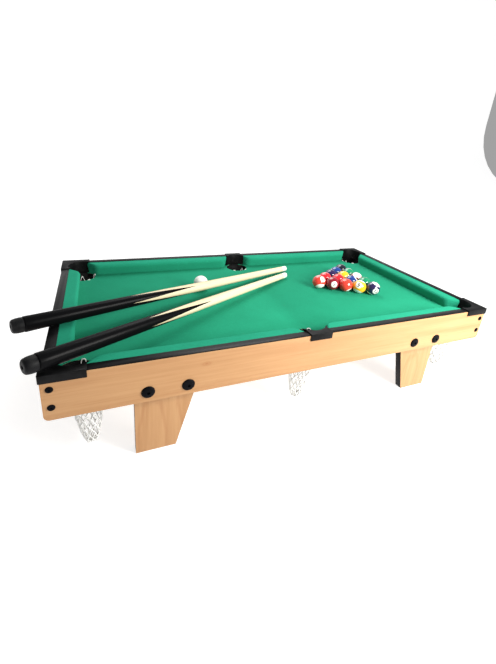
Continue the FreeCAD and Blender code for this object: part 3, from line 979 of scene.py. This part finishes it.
@dataclass
class PocketNet:
    """One string net: knotted diamonds that hang from loops round the hole and gather at the foot."""

    node: str
    recipe: NodeRecipe
    seed: int
    strands: int = 11
    rows: int = 10
    rim_radius: float = 24.0 * MM
    ring_drop: float = 23.0 * MM
    loop_turns: tuple[float, ...] = (0.75, -0.6)
    hanger_turns: tuple[float, ...] = (2.1, -2.2)
    slack: float = 0.06
    drift: float = 0.0
    wall_gap: float = 0.8 * MM
    over_edge: tuple[Steps, ...] = (
        (-0.16, 20.4, -9.0), (-0.13, 21.2, -2.0), (-0.09, 22.0, 0.4), (-0.03, 22.8, 0.4),
        (0.04, 22.9, 0.4), (0.10, 22.0, 0.4), (0.14, 21.2, -2.0), (0.17, 20.4, -9.0),
    )
    on_hook: tuple[Steps, ...] = ((-0.25, 19.0, -18.0), (0.0, 21.4, -6.0), (0.25, 19.0, -18.0))
    profile: tuple[Steps, ...] = (
        (0.0, 18.6 * MM, 0.25),
        (0.23, 17.6 * MM, 0.6),
        (0.55, 14.8 * MM, 0.85),
        (0.74, 12.6 * MM, 0.95),
        (0.89, 10.0 * MM, 1.0),
        (1.0, 6.0 * MM, 1.0),
    )

    def hole_centre(self, low: Vector, high: Vector) -> Vector:
        """The middle of the hole: one rim radius in from the net's side towards the table's middle."""

        def along(start: float, stop: float) -> float:
            """The middle along one axis."""
            if abs(start + stop) < MM:
                return 0.0
            return start + self.rim_radius if start > 0 else stop - self.rim_radius

        return Vector((along(low.x, high.x), along(low.y, high.y), 0))

    def sag(self, hole: Vector, low: Vector) -> Vector:
        """How far the foot hangs to one side, from the frame node's lowest points."""
        points = [v.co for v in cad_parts[self.node].data.vertices]
        foot = [p for p in points if p.z < low.z + 0.5 * MM]
        middle = sum(foot, Vector()) / len(foot)
        return Vector((middle.x - hole.x, middle.y - hole.y, 0))

    def shape(self, share: float) -> tuple[float, float]:
        """The net's radius, and its share of the sag, at a share of its depth."""
        for (a, radius_a, sag_a), (b, radius_b, sag_b) in zip(self.profile, self.profile[1:]):
            if share <= b:
                k = (share - a) / (b - a)
                return radius_a + (radius_b - radius_a) * k, sag_a + (sag_b - sag_a) * k
        return self.profile[-1][1], self.profile[-1][2]

    def crossings(self, hole: Vector, sag: Vector, low: Vector, top: float) -> list[Vector]:
        """The crossings, row by row, and the foot as the last point."""
        draw = random.Random(self.seed)
        points = []
        upper = top - self.ring_drop
        for row in range(self.rows + 1):
            share = row / self.rows
            radius, lean = self.shape(share)
            for k in range(self.strands):
                turn = math.tau * (k + 0.5 * (row % 2)) / self.strands + draw.uniform(-0.06, 0.06)
                reach = radius * draw.uniform(1 - self.slack, 1 + self.slack)
                height = upper + (low.z + 1.5 * MM - upper) * share + draw.uniform(-1, 1) * MM
                across = Vector((self.drift + reach * math.cos(turn), reach * math.sin(turn), height))
                points.append(hole + sag * lean + across)
        points.append(hole + sag + Vector((0, 0, low.z + 0.9 * MM)))
        return points

    def loop(self, hole: Vector, turn: float, top: float, steps: Sequence[Steps]) -> list[Vector]:
        """One loop of string by the hole's edge, from steps of (turn, radius, rise)."""
        inward = math.atan2(-hole.y, -hole.x) + turn
        spots = [(inward + step, radius * MM, top + rise * MM) for step, radius, rise in steps]
        return [hole + Vector((radius * math.cos(a), radius * math.sin(a), z)) for a, radius, z in spots]

    def build(self) -> None:
        """Makes the net."""
        low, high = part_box(self.node)
        _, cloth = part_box("playfield_cloth")
        hole = self.hole_centre(low, high)
        points = self.crossings(hole, self.sag(hole, low), low, cloth.z)
        foot = len(points) - 1
        knots = [0 < k // self.strands < self.rows or k == foot for k in range(len(points))]
        edges = [(self.rows * self.strands + k, foot) for k in range(self.strands)]
        edges += [(k, (k + 1) % self.strands) for k in range(self.strands)]
        for row in range(self.rows):
            step = 1 if row % 2 else -1
            below = (row + 1) * self.strands
            for k in range(self.strands):
                here = row * self.strands + k
                edges += [(here, below + k), (here, below + (k + step) % self.strands)]
        lines = [self.loop(hole, turn, cloth.z, self.over_edge) for turn in self.loop_turns]
        lines += [self.loop(hole, turn, cloth.z, self.on_hook) for turn in self.hanger_turns]
        for line in lines:
            first = len(points)
            last = first + len(line) - 1
            for end, at in ((line[0], first), (line[-1], last)):
                edges.append((min(range(self.strands), key=lambda k: (points[k] - end).length), at))
            points += line
            knots += [False] * len(line)
            edges += [(k, k + 1) for k in range(first, last)]
        limit = cloth - Vector((self.wall_gap, self.wall_gap, 0))
        for p in points:
            p.x = max(-limit.x, min(limit.x, p.x))
            p.y = max(-limit.y, min(limit.y, p.y))
        guide = bpy.data.meshes.new(self.node)
        guide.from_pydata(points, edges, [])
        guide.attributes.new("knot", "BOOLEAN", "POINT").data.foreach_set("value", knots)
        piece = self.recipe.run("string_" + self.node, guide)
        settle(piece, "table", "net_string", self.node)


@dataclass
class Fasteners:
    """Leg bolts, leg nuts and corner screws."""

    black: Material
    zinc: Material
    bolt_radius: float = 8.0 * MM
    bolt_height: float = 2.4 * MM
    socket_radius: float = 2.3 * MM
    screw_radius: float = 4.0 * MM
    screw_height: float = 1.4 * MM
    cross_radius: float = 1.7 * MM
    ring_points: int = 48

    def ring(self, x: float, radius: float, sides: int = 0, grow: float = 0.0, most: float = 1.0) -> Ring:
        """One ring round +X: a circle, or a polygon with corners at a radius, grown within a limit."""
        turns = [math.tau * k / self.ring_points for k in range(self.ring_points)]
        reach = [radius] * len(turns)
        if sides:
            part = math.tau / sides
            reach = [radius * math.cos(part / 2) / math.cos((a % part) - part / 2) for a in turns]
        reach = [min(r + grow, most) for r in reach]
        return [Vector((x, r * math.cos(a), r * math.sin(a))) for a, r in zip(turns, reach)]

    def domed_head(self, radius: float, height: float, socket: float, sides: int) -> BMesh:
        """A domed head along +X with a recess of a number of sides, seated at x = 0."""
        steps = 8
        bends = [math.pi / 2 * k / steps for k in range(steps)]
        crown = [(height * math.sin(a) ** 0.8, radius * math.cos(a) ** 0.7) for a in bends]
        rim = socket * 1.25
        crown = [(x, r) for x, r in crown if r > rim * 1.05]
        rings = [self.ring(-0.3 * MM, radius * 0.97)]
        rings += [self.ring(x, r) for x, r in crown]
        rings.append(self.ring(height, rim))
        for depth, grow in ((0.0, 1.06), (0.15 * MM, 1.0), (0.62 * height, 1.0)):
            rings.append(self.ring(height - depth, grow * socket, sides))
        return stack(rings)

    def nut(self, radius: float, height: float, flange: float) -> BMesh:
        """A flange nut along +X, seated at x = 0."""
        rings = [
            self.ring(0.0, flange - 0.2 * MM),
            self.ring(0.2 * MM, flange),
            self.ring(1.0 * MM, flange - 0.1 * MM),
            self.ring(1.2 * MM, radius, 6, 0.15 * MM, flange - 0.5 * MM),
            self.ring(1.6 * MM, radius, 6),
            self.ring(height - 0.5 * MM, radius, 6),
            self.ring(height, radius, 6, 0.0, radius * 0.88),
            self.ring(height, 3.2 * MM),
            self.ring(height + 1.0 * MM, 2.9 * MM),
            self.ring(height + 1.6 * MM, 2.5 * MM),
        ]
        return stack(rings)

    def place(self, node: str, shape: BMesh, recipe: NodeRecipe, slot: str, outward: bool) -> None:
        """Puts one fastener on each solid of a frame node.

        Args:
            node: the frame node with the fasteners' solids.
            shape: one fastener along +X, seated at x = 0.
            recipe: the tree that places them.
            slot: the record's material slot.
            outward: whether the heads look away from the table's middle.
        """
        model = bpy.data.objects.new("model_" + node, soft_shaded(shape, node, 30.0))
        bpy.context.scene.collection.objects.link(model)
        apron_low, apron_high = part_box("apron_back")
        leg_low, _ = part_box("leg_back_left")
        seat = apron_high.y if outward else leg_low.y
        points, aims = [], []
        for low, high in islands(node):
            middle = (low + high) / 2
            side = math.copysign(1, middle.y)
            points.append((middle.x, side * seat, middle.z))
            aims.extend((0.0, side if outward else -side, 0.0))
        guide = bpy.data.meshes.new(node)
        guide.from_pydata(points, [], [])
        guide.attributes.new("aim", "FLOAT_VECTOR", "POINT").data.foreach_set("vector", aims)
        piece = recipe.run("set_" + node, guide, Fastener=model)
        bpy.data.objects.remove(model)
        settle(piece, "table", slot, node)

    def build(self) -> None:
        """Makes all three sets."""
        black_recipe = fastener_recipe(self.black)
        bolt = self.domed_head(self.bolt_radius, self.bolt_height, self.socket_radius, 6)
        self.place("leg_bolts", bolt, black_recipe, "black_bolt", True)
        screw = self.domed_head(self.screw_radius, self.screw_height, self.cross_radius, 4)
        self.place("corner_screws", screw, black_recipe, "black_bolt", True)
        nut = self.nut(5.8 * MM, 5.0 * MM, 7.0 * MM)
        self.place("leg_nuts", nut, fastener_recipe(self.zinc), "zinc_nut", False)


@dataclass
class Cleats:
    """The battens under the bed."""

    wood: Material
    ease_width: float = 0.5 * MM

    def build(self) -> None:
        """Makes both sets of battens."""
        for node in ("bed_cleats_long", "bed_cleats_end"):
            bm = node_copy(node)
            ease(bm, self.ease_width, 50.0, 2)
            piece = new_piece("sawn_" + node, soft_shaded(bm, node), [self.wood])
            settle(piece, "table", "cleat_wood", node)


@dataclass
class Cue:
    """One cue: rubber bumper, painted and lacquered shaft, white tip cap."""

    name: str
    phase: float
    rubber: Material
    tip_plastic: Material
    butt_radius: float = 10.0 * MM
    tip_radius: float = 5.5 * MM
    bumper: float = 13 * MM
    bumper_radius: float = 9.4 * MM
    tip_length: float = 14 * MM
    length: float = 0.0

    def axes(self) -> Matrix:
        """Measures the cue, and gives its own axes: X from the butt to the tip, origin at the butt's end."""
        low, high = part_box(self.name + "_bumper")
        tip_low, tip_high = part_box(self.name + "_tip")
        start, stop = (low + high) / 2, (tip_low + tip_high) / 2
        along = (stop - start).normalized()
        self.length = (stop - start).length + (self.bumper + self.tip_length) / 2
        turn = along.to_track_quat("X", "Z")
        return Matrix.LocRotScale(start - along * (self.bumper / 2), turn, None)

    def radius_at(self, x: float) -> float:
        """The shaft's radius at a distance from the butt's end."""
        return self.butt_radius + (self.tip_radius - self.butt_radius) * x / self.length

    def build(self) -> None:
        """Makes the three pieces."""
        place = self.axes()
        turn = place.to_euler()
        lacquer = CueLacquer("lacquer_" + self.name, place.translation, turn, self.phase).material()
        start, stop = self.bumper, self.length - self.tip_length
        r = self.bumper_radius
        hole = 2.2 * MM
        bumper = [(2.6 * MM, hole * 0.6), (2.4 * MM, hole * 0.9), (0.3 * MM, hole), (0.0, hole + 0.4 * MM)]
        bumper += [(0.02 * MM, hole + 1.2 * MM)]
        bumper += arc(3.6 * MM, r - 4.2 * MM, 3.6 * MM, 170, 112, 7)
        bumper += [(5.0 * MM, r - 0.3 * MM), (7.0 * MM, r - 0.05 * MM), (9.0 * MM, r)]
        bumper += [(start - 1.2 * MM, r), (start - 0.9 * MM, r - 0.35 * MM)]
        groove, lip = start - 0.4 * MM, start - 0.2 * MM
        bumper += [(groove, r - 0.35 * MM), (lip, r - 0.1 * MM), (start, r - 0.3 * MM)]
        self.part("bumper", bumper, self.rubber, "cue_bumper", place)
        shaft = [(start, self.butt_radius - 1.6 * MM)]
        shaft += arc(start + 1.6 * MM, self.butt_radius - 1.65 * MM, 1.6 * MM, 180, 92, 6)
        shaft += [(x, self.radius_at(x)) for x in [start + (stop - start) * k / 40 for k in range(1, 40)]]
        end = self.radius_at(stop)
        shaft += [(stop - 0.15 * MM, end), (stop, end - 0.12 * MM)]
        self.part("shaft", shaft, lacquer, "cue_wood", place)
        t = self.tip_radius
        tip = [(stop, end - 0.12 * MM), (stop + 0.15 * MM, end + 0.02 * MM)]
        tip += [(self.length - 5.0 * MM, t + 0.03 * MM), (self.length - 4.8 * MM, t - 0.12 * MM)]
        tip += [(self.length - 4.5 * MM, t - 0.12 * MM), (self.length - 4.3 * MM, t + 0.02 * MM)]
        tip += arc(self.length - 2.2 * MM, t - 2.2 * MM, 2.2 * MM, 90, 12, 7)
        tip += [(self.length, 0.4 * t)]
        self.part("tip", tip, self.tip_plastic, "cue_tip", place)

    def part(self, part: str, profile: Profile, finish: Material, slot: str, place: Matrix) -> None:
        """Turns one piece of the cue."""
        node = self.name + "_" + part
        piece = new_piece("turned_" + node, soft_shaded(lathe(profile, place), node, 40.0), [finish])
        settle(piece, self.name, slot, node)


@dataclass
class Ball:
    """One ball: polished resin with its number on two opposite discs."""

    node: str
    body: str
    number: int
    pattern: Pattern
    colour: RGB
    ink: Material
    facing: Vector
    up: Vector
    digit_size: float = 10.6 * MM

    def build(self) -> None:
        """Makes the ball and its numbers."""
        low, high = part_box(self.node)
        centre = (low + high) / 2
        radius = (high.z - low.z) / 2
        across = self.up.cross(self.facing).normalized()
        upright = self.facing.cross(across).normalized()
        turn = Matrix((self.facing, across, upright)).transposed()
        resin = BallResin("resin_" + self.node, centre, turn.to_euler(), radius, self.pattern, self.colour)
        bm = bmesh.new()
        bmesh.ops.create_icosphere(bm, subdivisions=5, radius=radius)
        bmesh.ops.translate(bm, vec=centre, verts=bm.verts)
        piece = new_piece("cast_" + self.node, soft_shaded(bm, self.node, 80.0), [resin.material()])
        settle(piece, self.body, self.node + "_resin", self.node)
        if self.pattern is not Pattern.PLAIN:
            self.numbers(centre, radius, turn)

    def digits(self) -> bpy.types.Mesh:
        """The number as a flat mesh about its own middle, in X and Y, with a bar under 6 and 9."""
        text = bpy.data.curves.new("digits", "FONT")
        text.body = str(self.number)
        text.align_x, text.align_y = "CENTER", "CENTER"
        text.size = self.digit_size if self.number < 10 else self.digit_size * 0.86
        text.offset = 0.26 * MM
        carrier = bpy.data.objects.new("digits", text)
        mesh = bpy.data.meshes.new_from_object(carrier)
        bpy.data.objects.remove(carrier)
        bpy.data.curves.remove(text)
        return mesh

    def numbers(self, centre: Vector, radius: float, turn: Matrix) -> None:
        """Wraps the number onto both discs as one thin closed piece."""
        flat = bmesh.new()
        flat.from_mesh(self.digits())
        bmesh.ops.remove_doubles(flat, verts=flat.verts, dist=0.02 * MM)
        bmesh.ops.dissolve_limit(flat, angle_limit=0.01, verts=flat.verts, edges=flat.edges)
        if self.number in (6, 9):
            half, low, high = 2.0 * MM, -4.1 * MM, -3.4 * MM
            bar = ((-half, low), (half, low), (half, high), (-half, high))
            flat.faces.new([flat.verts.new((x, y, 0)) for x, y in bar])
        bmesh.ops.triangulate(flat, faces=flat.faces)
        for _ in range(3):
            long_edges = [e for e in flat.edges if e.calc_length() > 0.8 * MM]
            bmesh.ops.subdivide_edges(flat, edges=long_edges, cuts=1)
            bmesh.ops.triangulate(flat, faces=flat.faces)
        bmesh.ops.dissolve_degenerate(flat, dist=0.01 * MM, edges=flat.edges)
        for face in flat.faces:
            if face.normal.z < 0:
                face.normal_flip()
        flat.verts.index_update()
        bm = bmesh.new()
        for half_turn in (1.0, -1.0):
            layers = []
            for level in (radius - 0.05 * MM, radius + 0.04 * MM):
                row = []
                for v in flat.verts:
                    aim = Vector((half_turn, half_turn * v.co.x / radius, v.co.y / radius)).normalized()
                    row.append(bm.verts.new(centre + turn @ (aim * level)))
                layers.append(row)
            for face in flat.faces:
                loop = [v.index for v in face.verts]
                bm.faces.new([layers[1][i] for i in loop])
                bm.faces.new([layers[0][i] for i in reversed(loop)])
            for edge in flat.edges:
                if edge.is_boundary:
                    i, j = (v.index for v in edge.verts)
                    bm.faces.new((layers[0][i], layers[0][j], layers[1][j], layers[1][i]))
        bmesh.ops.recalc_face_normals(bm, faces=bm.faces)
        flat.free()
        piece = new_piece("number_" + self.node, soft_shaded(bm, "number", 40.0), [self.ink])
        settle(piece, self.body, self.node + "_resin")


@dataclass
class BallSet:
    """The rack of fifteen and the cue ball."""

    ink: Material
    seed: int = 15
    white: RGB = (0.90, 0.89, 0.84)
    colours: dict[int, RGB] = field(
        default_factory=lambda: {
            1: (0.90, 0.50, 0.02),
            2: (0.012, 0.045, 0.24),
            3: (0.80, 0.02, 0.03),
            4: (0.022, 0.012, 0.075),
            5: (0.90, 0.055, 0.035),
            6: (0.01, 0.26, 0.12),
            7: (0.26, 0.008, 0.02),
            8: (0.008, 0.01, 0.022),
        }
    )

    def posed(self) -> dict[int, tuple[float, float, float]]:
        """Balls whose number shows: how far the disc sits right and up, and its roll in degrees."""
        return {
            7: (0.33, -0.14, 4.0),
            9: (-0.12, 0.20, -12.0),
            13: (0.55, 0.50, 0.0),
            12: (0.50, -0.38, -14.0),
            11: (-0.98, 0.0, 25.0),
            10: (0.70, 0.70, 148.0),
            15: (-0.98, 0.0, -35.0),
            14: (-0.98, 0.0, 25.0),
            8: (0.85, -0.30, 0.0),
            5: (0.60, -0.78, 0.0),
            4: (-0.80, -0.45, 0.0),
            6: (-0.60, -0.70, 0.0),
        }

    def build(self, eye: Vector) -> None:
        """Makes all sixteen balls.

        Args:
            eye: the point that the showing numbers are turned to.
        """
        draw = random.Random(self.seed)
        for number in range(1, 16):
            node = f"ball_{number:02d}"
            low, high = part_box(node)
            to_eye = (eye - (low + high) / 2).normalized()
            right = Vector((0, 0, 1)).cross(to_eye).normalized()
            above = to_eye.cross(right)
            if number in self.posed():
                x, y, roll = self.posed()[number]
                facing = right * x + above * y + to_eye * math.sqrt(1 - x * x - y * y)
            else:
                away = draw.uniform(-0.5, 0.35)
                swing = draw.uniform(0, math.tau)
                ring = math.sqrt(1 - away * away)
                facing = right * ring * math.cos(swing) + above * ring * math.sin(swing) + to_eye * away
                roll = draw.uniform(-180, 180)
            facing.normalize()
            up = Matrix.Rotation(math.radians(roll), 3, facing) @ above
            pattern = Pattern.SOLID if number < 9 else Pattern.STRIPE
            colour = self.colours[number if number < 9 else number - 8]
            body = WORDS[number - 1] + "_ball"
            Ball(node, body, number, pattern, colour, self.ink, facing, up).build()
        forward, up = Vector((1, 0, 0)), Vector((0, 0, 1))
        Ball("ball_cue", "white_ball", 0, Pattern.PLAIN, self.white, self.ink, forward, up).build()


@dataclass
class Studio:
    """The camera, a pale floor and soft lights."""

    eye: Vector = field(default_factory=lambda: Vector((-0.2769, -0.5359, 0.3861)))
    turn: tuple[float, float, float] = (70.356, -4.649, -22.421)
    lens: float = 19.12
    shift: tuple[float, float] = (-0.0014, -0.0947)
    floor_half: float = 6.0
    sky: float = 0.36
    wall_at: float = 4.0
    wall_height: float = 5.0

    def build(self) -> None:
        """Makes the camera, the floor, the lights and the sky."""
        self.camera()
        self.floor()
        key_aim, back_aim = Vector((0.15, 0.0, 0.10)), Vector((0.0, 0.0, 0.12))
        self.light("key", Vector((0.36, -0.56, 0.44)), key_aim, 0.35, 10.6, (1.0, 0.99, 0.95))
        self.light("back", Vector((0.12, 0.46, 0.75)), back_aim, 0.5, 5.0, (1.0, 1.0, 1.0))
        world = bpy.data.worlds.new("studio")
        world.use_nodes = True
        back = world.node_tree.nodes["Background"]
        back.inputs[0].default_value = (1.0, 1.0, 1.0, 1.0)
        back.inputs[1].default_value = self.sky
        bpy.context.scene.world = world
        bpy.context.scene.view_settings.view_transform = "Standard"

    def camera(self) -> None:
        """Makes the camera."""
        lens = bpy.data.cameras.new("camera")
        lens.lens = self.lens
        lens.sensor_width = 36.0
        lens.shift_x, lens.shift_y = self.shift
        lens.clip_start = 0.01
        camera = bpy.data.objects.new("camera", lens)
        camera.location = self.eye
        camera.rotation_euler = [math.radians(a) for a in self.turn]
        bpy.context.scene.collection.objects.link(camera)
        bpy.context.scene.camera = camera

    def floor(self) -> None:
        """Makes the pale floor and the wall behind it, in one sweep."""
        bm = bmesh.new()
        bend = [(math.radians(a), self.wall_at / 4) for a in range(0, 91, 10)]
        line = [(-self.floor_half, 0.0)]
        line += [(self.wall_at - r + r * math.sin(a), r - r * math.cos(a)) for a, r in bend]
        line.append((self.wall_at, self.wall_height))
        sides = (self.floor_half, -self.floor_half)
        skin(bm, [[Vector((x, y, z)) for y, z in line] for x in sides], closed=False)
        new_piece("floor", soft_shaded(bm, "floor", 60.0), [PALE_FLOOR.material()])

    def light(self, name: str, place: Vector, aim: Vector, size: float, watts: float, colour: RGB) -> None:
        """Makes one soft square light that looks at a point."""
        lamp = bpy.data.lights.new(name, "AREA")
        lamp.size, lamp.energy, lamp.color = size, watts, colour
        holder = bpy.data.objects.new(name, lamp)
        holder.location = place
        holder.rotation_euler = (aim - place).to_track_quat("-Z", "Y").to_euler()
        bpy.context.scene.collection.objects.link(holder)


def build_table(edging: Material, black: Material) -> None:
    """Makes the table itself.

    Args:
        edging: the finish of the black edges and bands.
        black: the finish of the bolts and screws.
    """
    felt = Felt("bed_felt", (0.018, 0.280, 0.156), (0.012, 0.205, 0.110)).material()
    cushion_felt = Felt("cushion_felt", (0.020, 0.300, 0.178), (0.014, 0.225, 0.130), 2000.0).material()
    board = RawWood("fibreboard", (0.50, 0.36, 0.22), (0.33, 0.22, 0.125)).material()
    pine = RawWood("sawn_pine", (0.70, 0.52, 0.32), (0.52, 0.35, 0.19), 60.0, 700.0).material()
    Bed(felt, board, edging).build()
    middles = (0.222, -0.214, 0.228, -0.208)
    legs = [MapleFoil(f"leg_foil_{k}", Grain.CATHEDRAL, offset=x).material() for k, x in enumerate(middles)]
    front = MapleFoil("front_foil", Grain.ALONG_X, knot=(-0.165, 0.128)).material()
    back = MapleFoil("back_foil", Grain.ALONG_X, offset=0.7).material()
    ends = MapleFoil("end_foil", Grain.ALONG_Y, offset=0.3).material()
    Boards(front, back, ends, legs, edging).build()
    Mouldings(BlackFinish("pocket_plastic").material(), edging).build()
    side, corner = 11 * MM, 16 * MM
    for end in ("front", "back"):
        RailCushion(f"cushion_{end}_left", cushion_felt, corner, side).build()
        RailCushion(f"cushion_{end}_right", cushion_felt, side, corner).build()
    for hand in ("left", "right"):
        RailCushion(f"cushion_{hand}_end", cushion_felt, corner, corner).build()
    string = string_recipe(TwistedString("net_string").material())
    nets = sorted(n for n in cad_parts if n.startswith("pocket_net"))
    for seed, node in enumerate(nets):
        drift = 3.5 * MM if node == "pocket_net_front_left" else 0.0
        PocketNet(node, string, seed + 3, drift=drift).build()
    Fasteners(black, ZINC.material()).build()
    Cleats(pine).build()


def main() -> None:
    """Builds the studio, the table, the cues and the balls."""
    logging.basicConfig(level=logging.INFO, format="%(message)s")
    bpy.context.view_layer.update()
    studio = Studio()
    studio.build()
    edging = BlackFinish("black_edging", rough_low=0.28, rough_high=0.40, grain=900.0, relief=0.12)
    steel = (0.003, 0.003, 0.004)
    steel_worn = (0.007, 0.007, 0.009)
    black = BlackFinish("black_bolt", steel, steel_worn, 0.3, 0.45, 1200.0, 0.12, 0.035)
    build_table(edging.material(), black.material())
    dark, dusty = (0.005, 0.005, 0.006), (0.02, 0.02, 0.02)
    rubber = BlackFinish("bumper_rubber", dark, dusty, 0.42, 0.6, 1100.0, 0.25, 0.12).material()
    tip = TIP_PLASTIC.material()
    for name, phase in (("cue_1", 0.0), ("cue_2", 0.86)):
        Cue(name, phase, rubber, tip).build()
    BallSet(NUMBER_INK.material()).build(studio.eye)


if __name__ == "__main__":
    main()
